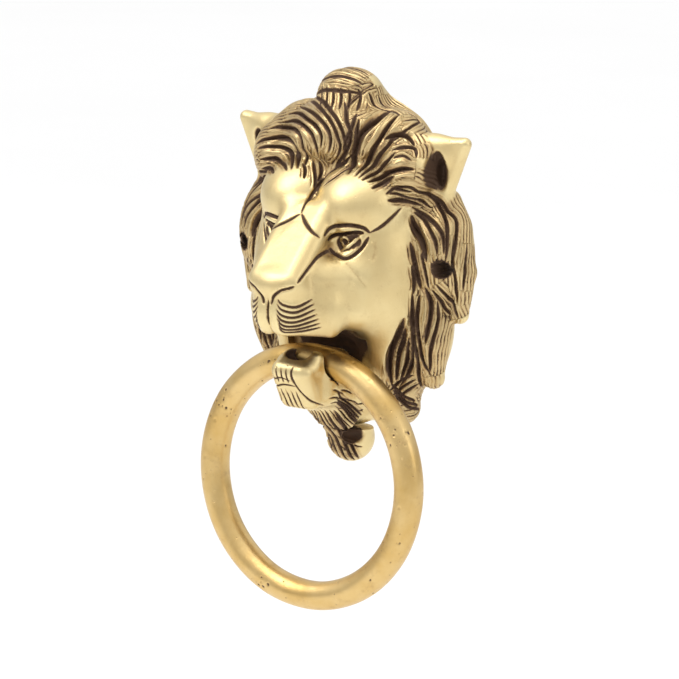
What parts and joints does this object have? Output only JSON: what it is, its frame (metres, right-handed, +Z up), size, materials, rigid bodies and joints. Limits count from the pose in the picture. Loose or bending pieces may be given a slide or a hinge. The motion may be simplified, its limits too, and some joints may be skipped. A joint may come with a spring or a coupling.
{
  "type": "door knocker",
  "caption": "Cast brass door knocker: a hollow lion mask for a door, with a plain round ring that swings in its mouth.",
  "frame": {"origin": "On the flat rim at the back of the mask, at the crown, in the middle; the door's surface is Y = 0", "axes": "+Z up, -Y out of the door along the lion's gaze, +X to the right as seen from in front"},
  "size_m": [0.1004, 0.0585, 0.19],
  "materials": {
    "antique_brass": "cast, relieved antique: pale satin brass on the high places and brown patina in the cuts",
    "satin_brass": "cast and rubbed to a satin, with a few casting pits",
    "plain_brass": "turned, plain"
  },
  "bodies": {
    "head": {"lion_mask": "antique_brass", "lower_jaw": "antique_brass", "jaw_screw_1": "plain_brass", "jaw_screw_2": "plain_brass", "jaw_washer_1": "plain_brass", "jaw_washer_2": "plain_brass"},
    "knocker_ring": {"ring": "satin_brass"}
  },
  "joints": [
    {"name": "ring_swing", "type": "hinge", "parent": "head", "child": "knocker_ring", "pos_m": [0, -0.029, -0.09675], "axis": [-1, 0, 0], "range_deg": [-16, 110]}
  ]
}
